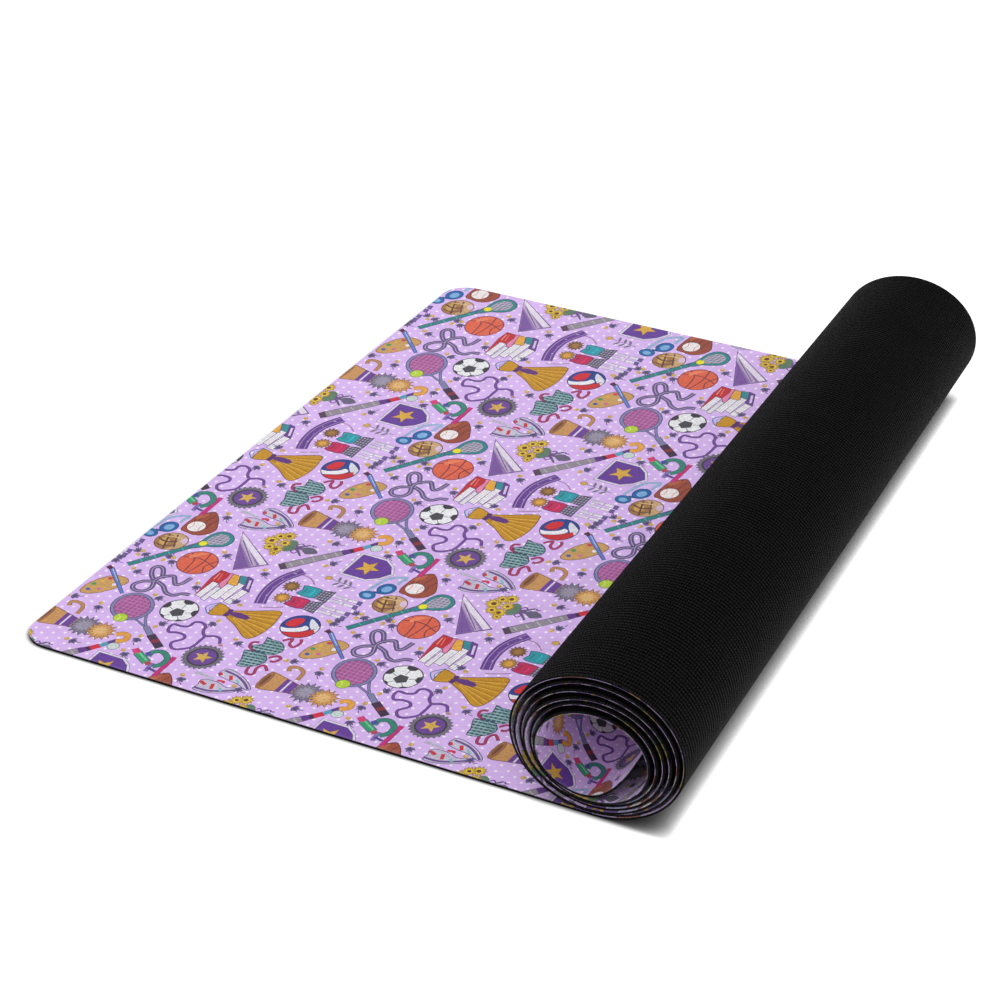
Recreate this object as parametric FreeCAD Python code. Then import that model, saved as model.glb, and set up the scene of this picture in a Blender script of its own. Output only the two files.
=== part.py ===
import FreeCAD, Part
import math
import os

# Rolled exercise mat: a printed suede face bonded to a natural rubber base, lying
# partly unrolled. Millimetres, +Z up. The mat's width runs along Y, the flat part
# points to -X and the roll sits at +X, with the suede on top of the flat part and
# on the inside of the roll. The origin is on the floor at the centre of the mat's
# outline box.
#
# The mat is laid out in section first, in (x, z) with x = 0 at the roll-off line,
# where the mat leaves the floor. ROLL_OFF_X then moves it to its place. Heights are
# measured from the rubber's outer face, towards the suede.

# ---------------------------------------------------------------- sheet
MAT_LENGTH = 1905.0          # full length, unrolled
MAT_WIDTH = 610.0
RUBBER_T = 1.3
SUEDE_T = 0.3
MAT_T = RUBBER_T + SUEDE_T
CORNER_R = 20.0              # rounded corners of the mat

# material, its side of the mat, bottom height, top height
LAYERS = (
    ("rubber", "base", 0, RUBBER_T),
    ("suede", "face", RUBBER_T, MAT_T),
)

# ---------------------------------------------------------------- roll
ROLL_HALF_W = 52.8           # outer turn, half width (the roll sags to an oval)
ROLL_HALF_H = 45.2           # outer turn, half height
PITCH_BOTTOM = 1.75          # how far each turn steps inward, at the bottom
PITCH_TOP = 4.5              # ... at the top, where the turns are slack
PITCH_RIGHT = 3.9            # ... at the +X side
PITCH_LEFT = 3.0             # ... at the -X side
START_LAG = 0.15             # rad, eases the roll off the floor

# The tongue is the inner end, which stands off its turn along a cubic Bezier.
TONGUE_TRAVEL = 2135.0       # deg of winding at which it leaves its turn
TONGUE_TIP = (27.6, 47.8)    # its tip on the rubber's outer face
TONGUE_TIP_DIR = 66.0        # deg, direction of travel at the tip
TONGUE_START_PULL = 27.0     # control arm where it leaves the turn
TONGUE_TIP_PULL = 21.0       # control arm at the tip
INNER_HINGE = 9.0            # coil runs on this far past the leaving point

# ---------------------------------------------------------------- strips and panels
TURN_STRIPS = 10             # flex strips round the outer turn
UNROLL_DEG = 330.0           # how much of the outer turn the strips cover
TURN_DEG = UNROLL_DEG / TURN_STRIPS
FIRST_STRIP_CUTS = [5.0, 11.0, 20.0]   # arc joints where the bend eases in
CURL_STRIPS = 5              # flex strips near the free end
CURL_PITCH = 14.0
END_PANEL = 66.0             # length of the panel at the free end
SLIT = 0.05                  # half of the slit between neighbouring pieces

# ---------------------------------------------------------------- sampling
WIND_STEP_DEG = 0.5
WIND_STEPS = int(TONGUE_TRAVEL / WIND_STEP_DEG)
TONGUE_STEPS = 240
TANGENT_STEP = 1e-5          # rad, for the direction where the tongue starts
COIL_SPACING = 3.5           # largest gap between spline points along the coil
TONGUE_SPACING = 3.0         # ... and along the tongue
MIN_SPANS = 4

# ---------------------------------------------------------------- corner cutter
CUTTER_DEPTH = 20.0          # through the sheet
CUTTER_SETBACK = 8           # how far it starts behind the sheet's outer face
CUTTER_MARGIN = 2            # past the mat's edges


# ---------------------------------------------------------------- section curve
def winding(angle):
    """Outer face of the rubber after this many radians of winding."""
    eased = angle - START_LAG * (1.0 - math.exp(-angle / START_LAG))
    turns = eased / (2 * math.pi)
    half_w = ROLL_HALF_W - 0.5 * (PITCH_RIGHT + PITCH_LEFT) * turns
    half_h = ROLL_HALF_H - 0.5 * (PITCH_TOP + PITCH_BOTTOM) * turns
    centre_x = -0.5 * (PITCH_RIGHT - PITCH_LEFT) * turns
    centre_z = ROLL_HALF_H - 0.5 * (PITCH_TOP - PITCH_BOTTOM) * turns
    polar = angle - math.pi / 2
    return centre_x + half_w * math.cos(polar), centre_z + half_h * math.sin(polar)


def ahead(point, distance, direction):
    """The point this far along a direction in radians."""
    return (point[0] + distance * math.cos(direction),
            point[1] + distance * math.sin(direction))


def tongue_points(start):
    """Points of the tongue after its start, where it is tangent to the winding."""
    before = winding(math.radians(TONGUE_TRAVEL) - TANGENT_STEP)
    start_dir = math.atan2(start[1] - before[1], start[0] - before[0])
    controls = (start,
                ahead(start, TONGUE_START_PULL, start_dir),
                ahead(TONGUE_TIP, -TONGUE_TIP_PULL, math.radians(TONGUE_TIP_DIR)),
                TONGUE_TIP)
    points = []
    for i in range(1, TONGUE_STEPS + 1):
        t = i / TONGUE_STEPS
        weights = ((1 - t) ** 3, 3 * t * (1 - t) ** 2, 3 * t * t * (1 - t), t ** 3)
        points.append(tuple(sum(weight * control[axis]
                                for weight, control in zip(weights, controls))
                            for axis in (0, 1)))
    return points


def arc_lengths(points):
    """Distance along the curve to each point."""
    lengths = [0.0]
    for a, b in zip(points, points[1:]):
        lengths.append(lengths[-1] + math.hypot(b[0] - a[0], b[1] - a[1]))
    return lengths


def directions(points):
    """Direction of travel at each point in radians, counted on through full turns."""
    result = []
    last = 0.0
    for i in range(len(points)):
        a = points[max(0, i - 1)]
        b = points[min(len(points) - 1, i + 1)]
        angle = math.atan2(b[1] - a[1], b[0] - a[0])
        while angle < last - math.pi:
            angle += 2 * math.pi
        while angle > last + math.pi:
            angle -= 2 * math.pi
        result.append(angle)
        last = angle
    result[0] = 0.0          # the mat leaves the floor level
    return result


CURVE = [winding(math.radians(TONGUE_TRAVEL) * i / WIND_STEPS)
         for i in range(WIND_STEPS + 1)]
CURVE += tongue_points(CURVE[-1])
LENGTHS = arc_lengths(CURVE)
DIRECTIONS = directions(CURVE)

ROLL_LEN = LENGTHS[-1]
COIL_END = LENGTHS[WIND_STEPS] + INNER_HINGE
FREE_END_X = -(MAT_LENGTH - ROLL_LEN)
END_PANEL_X = FREE_END_X + END_PANEL                 # the end panel's inner edge
FLAT_START_X = END_PANEL_X + CURL_STRIPS * CURL_PITCH
ROLL_OFF_X = -(FREE_END_X + max(x for x, z in CURVE)) / 2.0


def curve_at(length):
    """Point and direction on the curve at an arc length past the roll-off line."""
    low, high = 0, len(LENGTHS) - 1
    while high - low > 1:
        middle = (low + high) // 2
        if LENGTHS[middle] <= length:
            low = middle
        else:
            high = middle
    part = (length - LENGTHS[low]) / (LENGTHS[high] - LENGTHS[low])
    point = tuple(CURVE[low][axis] + part * (CURVE[high][axis] - CURVE[low][axis])
                  for axis in (0, 1))
    return point, DIRECTIONS[low] + part * (DIRECTIONS[high] - DIRECTIONS[low])


def length_at_direction(degrees):
    """Arc length at which the curve has turned by this many degrees."""
    target = math.radians(degrees)
    for i in range(1, WIND_STEPS):
        if DIRECTIONS[i] >= target:
            part = (target - DIRECTIONS[i - 1]) / (DIRECTIONS[i] - DIRECTIONS[i - 1])
            return LENGTHS[i - 1] + part * (LENGTHS[i] - LENGTHS[i - 1])
    raise ValueError(degrees)


# ---------------------------------------------------------------- solids
def section_vector(point, y=-MAT_WIDTH / 2.0):
    return FreeCAD.Vector(point[0] + ROLL_OFF_X, y, point[1])


def sheet_vector(length, height):
    """The point at an arc length and a height, on the mat's -Y edge."""
    (x, z), angle = curve_at(length)
    return section_vector((x - height * math.sin(angle), z + height * math.cos(angle)))


def spline_edges(stations, height):
    curve = Part.BSplineCurve()
    curve.interpolate([sheet_vector(station, height) for station in stations])
    return [curve.toShape()]


def arc_edges(stations, height):
    return [Part.Arc(sheet_vector(a, height),
                     sheet_vector((a + b) / 2.0, height),
                     sheet_vector(b, height)).toShape()
            for a, b in zip(stations, stations[1:])]


def curved_sheet(make_edges, stations, bottom, top):
    """A length of one layer, its curved faces run through the given arc lengths."""
    start, end = stations[0], stations[-1]
    edges = make_edges(stations, bottom)
    edges += [Part.makeLine(sheet_vector(end, bottom), sheet_vector(end, top))]
    edges += make_edges(stations[::-1], top)
    edges += [Part.makeLine(sheet_vector(start, top), sheet_vector(start, bottom))]
    return Part.Face(Part.Wire(edges)).extrude(FreeCAD.Vector(0, MAT_WIDTH, 0))


def smooth_sheet(start, end, bottom, top, spacing):
    """A length of one layer with spline faces."""
    spans = max(MIN_SPANS, int(math.ceil((end - start) / spacing)))
    stations = [start + (end - start) * i / spans for i in range(spans + 1)]
    return curved_sheet(spline_edges, stations, bottom, top)


def flat_sheet(x0, x1, bottom, top):
    return Part.makeBox(x1 - x0, MAT_WIDTH, top - bottom,
                        section_vector((x0, bottom)))


def round_end(solid, tip, direction, side):
    """Rounds the two corners at an end of the mat. tip is the end's section point,
    direction points outward there in radians, side is +1 or -1 for the normal that
    points from rubber to suede."""
    out_x, out_z = math.cos(direction), math.sin(direction)
    outward = FreeCAD.Vector(out_x, 0, out_z)
    normal = FreeCAD.Vector(-out_z * side, 0, out_x * side)
    reach = CORNER_R + CUTTER_MARGIN
    for sign in (-1, 1):
        edge_centre = section_vector(tip, sign * (MAT_WIDTH / 2.0 - CORNER_R))
        base = edge_centre - outward * CORNER_R - normal * CUTTER_SETBACK
        sideways = FreeCAD.Vector(0, sign, 0) * reach
        cylinder = Part.makeCylinder(CORNER_R, CUTTER_DEPTH, base, normal)
        square = Part.makePolygon([base, base + outward * reach,
                                   base + outward * reach + sideways,
                                   base + sideways, base])
        prism = Part.Face(square).extrude(normal * CUTTER_DEPTH)
        solid = solid.cut(prism.cut(cylinder))
    return solid


def save(name, shape):
    if shape.ShapeType == "Compound" and len(shape.Solids) == 1:
        shape = shape.Solids[0]
    shape.exportStep(os.path.join("parts", name + ".step"))


# ---------------------------------------------------------------- pieces
def flat_part(material, side, bottom, top):
    save("flat_%s_%s" % (material, side),
         flat_sheet(FLAT_START_X + SLIT, -SLIT, bottom, top))


def curl_strips(material, bottom, top):
    """Strips that let the free end curl up, numbered towards the free end."""
    for i in range(CURL_STRIPS):
        x1 = FLAT_START_X - i * CURL_PITCH
        x0 = x1 - CURL_PITCH
        save("curl_%s_%02d" % (material, i + 1),
             flat_sheet(x0 + SLIT, x1 - SLIT, bottom, top))


def free_end(material, bottom, top):
    panel = flat_sheet(FREE_END_X, END_PANEL_X - SLIT, bottom, top)
    save("free_end_" + material, round_end(panel, (FREE_END_X, 0.0), math.pi, -1))


def turn_strips(material, bottom, top):
    """The outer turn, as flex strips of equal bend numbered from the floor."""
    for i in range(TURN_STRIPS):
        start = length_at_direction(TURN_DEG * i)
        end = length_at_direction(TURN_DEG * (i + 1))
        joints = [(start + end) / 2.0] if i else FIRST_STRIP_CUTS
        stations = [start + SLIT] + joints + [end - SLIT]
        save("turn_%s_%02d" % (material, i + 1),
             curved_sheet(arc_edges, stations, bottom, top))


def coil(material, side, bottom, top):
    """The inner turns, in one continuous piece."""
    start = length_at_direction(UNROLL_DEG) + SLIT
    save("coil_%s_%s" % (material, side),
         smooth_sheet(start, COIL_END - SLIT, bottom, top, COIL_SPACING))


def inner_end(material, bottom, top):
    """The tongue, with its two rounded corners."""
    tongue = smooth_sheet(COIL_END + SLIT, ROLL_LEN, bottom, top, TONGUE_SPACING)
    tip, direction = curve_at(ROLL_LEN)
    save("inner_end_" + material, round_end(tongue, tip, direction, 1))


os.makedirs("parts", exist_ok=True)
for material, side, bottom, top in LAYERS:
    flat_part(material, side, bottom, top)
    curl_strips(material, bottom, top)
    free_end(material, bottom, top)
    turn_strips(material, bottom, top)
    coil(material, side, bottom, top)
    inner_end(material, bottom, top)
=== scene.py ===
# A partly unrolled exercise mat: printed suede on textured rubber, lying on a studio floor.
# +x runs along the mat from its free end to the roll, y across its width, z up. The roll
# stands at the +x end; its inner end is a short tongue near the middle of the coil.
import math
import bpy
import numpy as np
from mathutils import Matrix, Vector
from mathutils.geometry import delaunay_2d_cdt


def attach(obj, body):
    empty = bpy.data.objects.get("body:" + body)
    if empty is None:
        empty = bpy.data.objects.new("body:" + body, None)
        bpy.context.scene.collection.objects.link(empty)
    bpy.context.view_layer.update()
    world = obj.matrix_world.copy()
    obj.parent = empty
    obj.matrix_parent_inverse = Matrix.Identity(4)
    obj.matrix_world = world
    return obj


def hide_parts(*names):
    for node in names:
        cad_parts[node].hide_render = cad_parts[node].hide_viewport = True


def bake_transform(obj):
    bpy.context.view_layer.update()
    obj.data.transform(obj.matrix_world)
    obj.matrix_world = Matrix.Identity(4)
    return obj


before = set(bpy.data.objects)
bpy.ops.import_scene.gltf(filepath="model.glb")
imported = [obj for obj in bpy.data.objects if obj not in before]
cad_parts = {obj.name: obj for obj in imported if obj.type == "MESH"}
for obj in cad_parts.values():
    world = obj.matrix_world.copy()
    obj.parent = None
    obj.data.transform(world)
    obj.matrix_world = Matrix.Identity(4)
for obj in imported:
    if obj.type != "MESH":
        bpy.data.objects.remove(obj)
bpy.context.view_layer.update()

# ------------------------------------------------------------------ the mat's section
# Millimetres and degrees. "Along" is arc length on the outer face of the rubber: zero where
# the roll leaves the floor, negative over the flat part.
MAT_LENGTH = 1905.0
MAT_WIDTH = 610.0
RUBBER_T = 1.3
SUEDE_T = 0.3
CORNER_R = 20.0
ROLL_HALF_W = 52.8
ROLL_HALF_H = 45.2
PITCH_BOTTOM, PITCH_TOP = 1.75, 4.5     # gap between turns on each side of the roll
PITCH_RIGHT, PITCH_LEFT = 3.9, 3.0
START_LAG = 0.15                        # radians over which the inward winding sets in
WINDING_STEP = 0.5
TONGUE_TRAVEL = 2135.0                  # winding angle at which the tongue leaves the coil
TONGUE_TIP = (27.6, 47.8)
TONGUE_TIP_DIR = 66.0
TONGUE_PULL = (27.0, 21.0)              # Bezier handle lengths at the coil and at the tip
TONGUE_STEPS = 240
INNER_HINGE = 9.0                       # from the end of the winding
INNER_BEND_HALF = 6.0
TURN_STRIPS = 10
UNROLL_DEG = 330.0
TURN_DEG = UNROLL_DEG / TURN_STRIPS
CURL_STRIPS = 5
CURL_PITCH = 14.0
END_PANEL = 66.0
MAT_T = RUBBER_T + SUEDE_T
HALF_W = MAT_WIDTH / 2
MM = 1000.0                             # millimetres in a metre


def winding(angle):
    """Section points (x, z) of the shrinking, flattened spiral."""
    turns = (angle - START_LAG * (1.0 - np.exp(-angle / START_LAG))) / (2 * math.pi)
    half_w = ROLL_HALF_W - 0.5 * (PITCH_RIGHT + PITCH_LEFT) * turns
    half_h = ROLL_HALF_H - 0.5 * (PITCH_TOP + PITCH_BOTTOM) * turns
    centre_x = -0.5 * (PITCH_RIGHT - PITCH_LEFT) * turns
    centre_z = ROLL_HALF_H - 0.5 * (PITCH_TOP - PITCH_BOTTOM) * turns
    polar = angle - math.pi / 2
    return np.stack([centre_x + half_w * np.cos(polar), centre_z + half_h * np.sin(polar)], -1)


def make_curve():
    """Points, arc lengths and directions of the roll's section, and the winding's step count."""
    count = int(TONGUE_TRAVEL / WINDING_STEP)
    last = math.radians(TONGUE_TRAVEL)
    points = winding(np.linspace(0, last, count + 1))
    p0 = points[-1]
    before = winding(np.array([last - 1e-5]))[0]
    start_dir = math.atan2(p0[1] - before[1], p0[0] - before[0])
    tip_dir = math.radians(TONGUE_TIP_DIR)
    p3 = np.array(TONGUE_TIP)
    p1 = p0 + TONGUE_PULL[0] * np.array([math.cos(start_dir), math.sin(start_dir)])
    p2 = p3 - TONGUE_PULL[1] * np.array([math.cos(tip_dir), math.sin(tip_dir)])
    t = (np.arange(1, TONGUE_STEPS + 1) / float(TONGUE_STEPS))[:, None]
    tongue = (1 - t) ** 3 * p0 + 3 * t * (1 - t) ** 2 * p1 + 3 * t * t * (1 - t) * p2 + t ** 3 * p3
    points = np.vstack([points, tongue])
    lengths = np.concatenate([[0], np.cumsum(np.hypot(*np.diff(points, axis=0).T))])
    index = np.arange(len(points))
    chord = points[np.minimum(index + 1, len(points) - 1)] - points[np.maximum(index - 1, 0)]
    dirs = np.unwrap(np.arctan2(chord[:, 1], chord[:, 0]))
    dirs -= 2 * math.pi * round(dirs[0] / (2 * math.pi))
    dirs[0] = 0.0
    return points, lengths, dirs, count


CURVE, CURVE_LEN, CURVE_DIR, N_WIND = make_curve()
ROLL_LEN = float(CURVE_LEN[-1])
FLAT_LEN = MAT_LENGTH - ROLL_LEN
CENTRE_X = (FLAT_LEN - float(CURVE[:, 0].max())) / 2.0     # shift that centres the mat on x = 0


def along_at_dir(degrees):
    """Arc length at which the winding has turned by this much."""
    return float(np.interp(math.radians(degrees), CURVE_DIR[:N_WIND], CURVE_LEN[:N_WIND]))


def stray(along):
    """Sideways offset of the coil's turns in mm, growing from none on the outer turn."""
    grow = np.clip((along - 330.0) / 160.0, 0, 1)
    grow = grow * grow * (3 - 2 * grow)
    return grow * (0.9 * np.sin(along / 61.0 + 1.0) + 0.6 * np.sin(along / 23.7 + 0.4) - 0.3)


def place(along, across, height):
    """Arc length, width and height above the rubber's outer face, all mm, to metres."""
    along, across, height = np.broadcast_arrays(
        np.asarray(along, float), np.asarray(across, float), np.asarray(height, float))
    rolled = np.clip(along, 0, ROLL_LEN)
    x = np.interp(rolled, CURVE_LEN, CURVE[:, 0]) + np.minimum(along, 0)
    z = np.interp(rolled, CURVE_LEN, CURVE[:, 1])
    d = np.where(along <= 0, 0.0, np.interp(rolled, CURVE_LEN, CURVE_DIR))
    return np.stack([x - height * np.sin(d) + CENTRE_X, across + stray(along),
                     z + height * np.cos(d)], -1) / MM


# ------------------------------------------------------------------ drawing tools
# One repeat of the print is drawn as layered polygons on a sheet of SHEET units a side
# (x along the mat, y down across it); alternate rows sit half a repeat over.
# Colours are sRGB 0 to 255. An edge is (colour, width); within is the index of a clip shape.
SHEET = 1450.0
INK = (84, 52, 120)
BROWN = (120, 78, 60)
ART = []          # (points, colour, index of the shape it is clipped to or None)


def area(p):
    x, y = p[:, 0], p[:, 1]
    return 0.5 * float(np.sum(x * np.roll(y, -1) - np.roll(x, -1) * y))


def expand(points, width):
    """A polygon grown outwards, with its sharpest mitres held back."""
    p = np.asarray(points, float)
    sign = 1.0 if area(p) > 0 else -1.0
    side = np.roll(p, -1, 0) - p
    side /= np.maximum(np.hypot(side[:, 0], side[:, 1])[:, None], 1e-9)
    normal = np.stack([side[:, 1], -side[:, 0]], -1) * sign
    mitre = normal + np.roll(normal, 1, 0)
    mitre /= np.maximum(np.sum(mitre * mitre, 1)[:, None] * 0.5, 0.35)
    return p + mitre * width


def shape(points, colour, edge=None, within=None):
    """Draw a polygon over its edge; returns its index for clipping."""
    p = np.asarray(points, float)
    if edge is not None:
        ART.append((expand(p, edge[1]), edge[0], None))
    ART.append((p, colour, within))
    return len(ART) - 1


def rotated(p, x, y, degrees):
    c, s = math.cos(math.radians(degrees)), math.sin(math.radians(degrees))
    return np.stack([x + c * p[:, 0] - s * p[:, 1], y + s * p[:, 0] + c * p[:, 1]], -1)


def ellipse(x, y, rx, ry, sides=22, turn=0.0):
    t = np.radians(np.linspace(0.0, 360.0, sides, endpoint=False))
    return rotated(np.stack([rx * np.cos(t), ry * np.sin(t)], -1), x, y, turn)


def oval(x, y, rx, ry, colour, sides=22, turn=0.0, **style):
    return shape(ellipse(x, y, rx, ry, sides, turn), colour, **style)


def disc(x, y, radius, colour, sides=22, turn=0.0, **style):
    return oval(x, y, radius, radius, colour, sides, turn, **style)


def star(x, y, outer, inner, tips, turn=0.0):
    t = np.radians(turn) + np.arange(2 * tips) * math.pi / tips
    r = np.where(np.arange(2 * tips) % 2 == 0, outer, inner)
    return np.stack([x + r * np.cos(t), y + r * np.sin(t)], -1)


def smooth(points, steps, closed=True):
    """Catmull-Rom curve through the points."""
    p = np.asarray(points, float)
    n = len(p)
    out = []
    for i in range(n if closed else n - 1):
        a, b, c, d = [p[k % n] if closed else p[min(max(k, 0), n - 1)] for k in range(i - 1, i + 3)]
        for j in range(steps):
            t = j / steps
            out.append(0.5 * (2 * b + (c - a) * t + (2 * a - 5 * b + 4 * c - d) * t * t
                              + (3 * b - a - 3 * c + d) * t ** 3))
    if not closed:
        out.append(p[-1])
    return np.array(out)


def blob(points, colour, steps=3, **style):
    return shape(smooth(points, steps), colour, **style)


def ribbon(line, width, colour, end_width=None, edge=None, within=None):
    """A line of a given width, as a run of four-sided pieces."""
    d = np.empty_like(line)
    d[1:-1] = line[2:] - line[:-2]
    d[0], d[-1] = line[1] - line[0], line[-1] - line[-2]
    d /= np.hypot(d[:, 0], d[:, 1])[:, None]
    normal = np.stack([-d[:, 1], d[:, 0]], -1)
    half = np.linspace(width, width if end_width is None else end_width, len(line))[:, None] / 2
    for layer_colour, extra in ([edge] if edge else []) + [(colour, 0)]:
        left, right = line + normal * (half + extra), line - normal * (half + extra)
        for i in range(len(line) - 1):
            piece = np.array([left[i], left[i + 1], right[i + 1], right[i]])
            ART.append((piece, layer_colour, within))


def stroke(path, width, colour, steps=4, **style):
    ribbon(smooth(path, steps, closed=False), width, colour, **style)


def bar(start, end, width, colour, **style):
    ribbon(np.asarray([start, end], float), width, colour, **style)


def rungs(start, end, shares, offsets, width, colour):
    """Short bars across a shaft, at shares of its length."""
    for f in shares:
        p = np.array(start) * (1 - f) + np.array(end) * f
        bar(p + offsets[0], p + offsets[1], width, colour)


def scaled(colour, factor):
    return tuple(min(255, int(c * factor)) for c in colour)


# ------------------------------------------------------------------ the print's motifs
def basketball():
    ball = oval(465, 1420, 112, 112, (228, 102, 74), sides=30, edge=((110, 46, 70), 6))
    for path in ([(372, 1345), (432, 1405), (448, 1535)], [(478, 1300), (492, 1420), (468, 1540)],
                 [(350, 1402), (465, 1380), (582, 1424)], [(566, 1346), (524, 1430), (552, 1500)]):
        stroke(path, 7, (120, 48, 66), steps=5, within=ball)
    blob([(385, 1370), (420, 1330), (470, 1318), (440, 1350), (400, 1400)], (240, 132, 96),
         within=ball)


def books():
    for cover, pages, colour in (
            ([(805, 1415), (842, 1424), (893, 1542), (845, 1537)],
             [(847, 1537), (890, 1545), (870, 1690), (825, 1680)], (106, 66, 148)),
            ([(760, 1425), (802, 1420), (836, 1495), (792, 1492)],
             [(792, 1490), (832, 1495), (820, 1665), (780, 1650)], (54, 142, 152)),
            ([(705, 1428), (757, 1430), (795, 1512), (780, 1525), (740, 1525)],
             [(742, 1525), (786, 1525), (775, 1685), (730, 1675)], (236, 172, 66)),
            ([(684, 1432), (713, 1427), (738, 1562), (724, 1575), (700, 1545)],
             [(706, 1570), (731, 1578), (723, 1718), (695, 1712)], (238, 134, 172)),
            ([(630, 1425), (690, 1432), (700, 1470), (693, 1545), (655, 1541), (643, 1700),
              (623, 1510)],
             [(656, 1541), (694, 1546), (685, 1700), (647, 1695)], (198, 42, 46))):
        shape(cover, colour, edge=(INK, 4))
        block = shape(pages, (244, 240, 246), edge=(INK, 4))
        q = np.asarray(pages, float)
        for f in (0.3, 0.62):
            bar(q[0] + (q[1] - q[0]) * f, q[3] + (q[2] - q[3]) * f, 2.4, (196, 190, 208),
                within=block)
    bar((640, 1450), (646, 1520), 6, (238, 170, 160))
    bar((655, 1446), (672, 1520), 6, (238, 120, 110))
    bar((835, 1440), (868, 1520), 14, (226, 206, 240))


def lacrosse_stick():
    bar((352, 1272), (125, 1605), 34, (44, 132, 134), edge=(INK, 4))
    rungs([352, 1272], [125, 1605], (0.2, 0.4, 0.6, 0.8), ((-14, -10), (14, 10)),
          5, (96, 178, 176))
    blob([(330, 1296), (352, 1232), (366, 1150), (400, 1098), (462, 1094), (512, 1140),
          (508, 1204), (462, 1240), (404, 1262), (362, 1300)], (46, 136, 138), edge=(INK, 5))
    net = blob([(378, 1222), (384, 1160), (412, 1118), (458, 1116), (490, 1150), (486, 1196),
                (448, 1222), (404, 1240)], (140, 132, 158))
    for i in range(6):
        bar((370 + 24 * i, 1100), (350 + 24 * i, 1250), 4, (206, 202, 218), within=net)
        bar((370, 1128 + 22 * i), (500, 1112 + 22 * i), 4, (206, 202, 218), within=net)
    disc(376, 1242, 24, (240, 232, 48), sides=12, edge=((120, 120, 40), 3))


def glove_and_ball():
    glove = blob([(172, 1078), (184, 1002), (236, 948), (262, 952), (300, 990), (342, 1060),
                  (356, 1104), (334, 1156), (284, 1188), (222, 1182), (176, 1168)],
                 (160, 76, 56), edge=((86, 36, 44), 5))
    for path in ([(232, 950), (216, 1010), (214, 1060)], [(272, 968), (258, 1030), (262, 1070)],
                 [(312, 1010), (296, 1060), (304, 1110)], [(192, 1010), (194, 1050), (196, 1084)]):
        stroke(path, 6, (104, 42, 40), steps=3, within=glove)
    blob([(180, 1020), (226, 966), (222, 1010), (196, 1050)], (186, 100, 70), within=glove)
    disc(238, 1112, 52, (246, 238, 240), sides=20, edge=((110, 60, 70), 4))
    stroke([(204, 1080), (216, 1112), (206, 1146)], 4, (214, 120, 120), steps=3)
    stroke([(270, 1080), (262, 1112), (272, 1146)], 4, (214, 120, 120), steps=3)


def catchers_mask():
    mask = oval(203, 1302, 94, 85, (206, 168, 124), sides=24, turn=-27, edge=((96, 62, 52), 5))
    oval(170, 1318, 66, 78, (168, 122, 70), sides=20, turn=-27, within=mask)
    oval(166, 1316, 30, 40, (212, 168, 92), sides=14, turn=-27, within=mask)
    for path, width, colour in (
            ([(118, 1300), (176, 1316), (236, 1290)], 12, (98, 60, 66)),
            ([(150, 1240), (172, 1300), (204, 1384)], 11, (98, 60, 66)),
            ([(196, 1226), (224, 1290), (252, 1350)], 10, (112, 72, 66)),
            ([(130, 1352), (186, 1358), (250, 1322)], 9, (112, 72, 66)),
            ([(138, 1270), (190, 1258), (240, 1250)], 8, (232, 198, 140))):
        stroke(path, width, colour, within=mask)
    oval(268, 1268, 20, 30, (224, 196, 226), sides=12, turn=-27, within=mask)


def pennant():
    flag = shape([(505, 1042), (826, 1264), (686, 1390)], (150, 116, 178), edge=(INK, 5))
    for band, colour in (
            ([(516, 1052), (818, 1262), (790, 1288), (536, 1104)], (236, 226, 242)),
            ([(528, 1082), (776, 1300), (756, 1318), (552, 1136)], (192, 172, 206)),
            ([(560, 1150), (742, 1330), (686, 1384), (600, 1214)], (126, 88, 164))):
        shape(band, colour, within=flag)
    bar((560, 1118), (754, 1306), 5, INK, within=flag)


def volleyball():
    ball = disc(618, 252, 106, (40, 70, 150), sides=28, edge=((44, 30, 80), 6))
    for panel, colour in (
            ([(545, 200), (600, 178), (606, 250), (560, 280), (530, 262)], (216, 42, 52)),
            ([(636, 160), (720, 216), (726, 262), (700, 262), (650, 210)], (226, 224, 236)),
            ([(510, 300), (560, 296), (620, 262), (640, 230), (672, 252), (640, 296), (570, 330),
              (520, 330)], (242, 238, 246)),
            ([(560, 336), (630, 306), (690, 250), (716, 262), (712, 296), (680, 340),
              (600, 366)], (210, 44, 50))):
        blob(panel, colour, within=ball)
    for seam in ([(606, 148), (612, 220), (560, 286)], [(512, 268), (580, 276), (646, 224)],
                 [(560, 334), (640, 300), (706, 236)]):
        stroke(seam, 4, (44, 30, 80), within=ball)


def pleated_dress():
    stroke([(94, 372), (42, 312), (96, 244)], 7, (60, 124, 170), steps=3)
    stroke([(96, 262), (70, 312), (98, 360)], 6, (86, 160, 190), steps=3)
    blob([(96, 256), (150, 268), (178, 288), (178, 338), (150, 356), (98, 366), (90, 310)],
         (204, 148, 30), edge=((100, 64, 36), 5))
    skirt = blob([(190, 296), (300, 240), (432, 176), (462, 230), (474, 330), (462, 420),
                  (436, 470), (392, 466), (300, 400), (192, 342)],
                 (202, 146, 26), edge=((100, 64, 36), 5))
    for y in (206, 250, 300, 350, 400, 446):
        stroke([(196, 316 + (y - 320) * 0.1), (330, 318 + (y - 320) * 0.55), (466, y)],
               5, (166, 108, 26), steps=2, within=skirt)
        bar((240, 318 + (y - 320) * 0.22), (470, y + 18), 5, (232, 182, 70), within=skirt)
    blob([(172, 282), (200, 276), (206, 318), (198, 350), (172, 344), (180, 312)], (88, 42, 112))
    blob([(200, 300), (250, 284), (318, 296), (316, 326), (262, 332), (204, 322)], (98, 50, 128))


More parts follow.
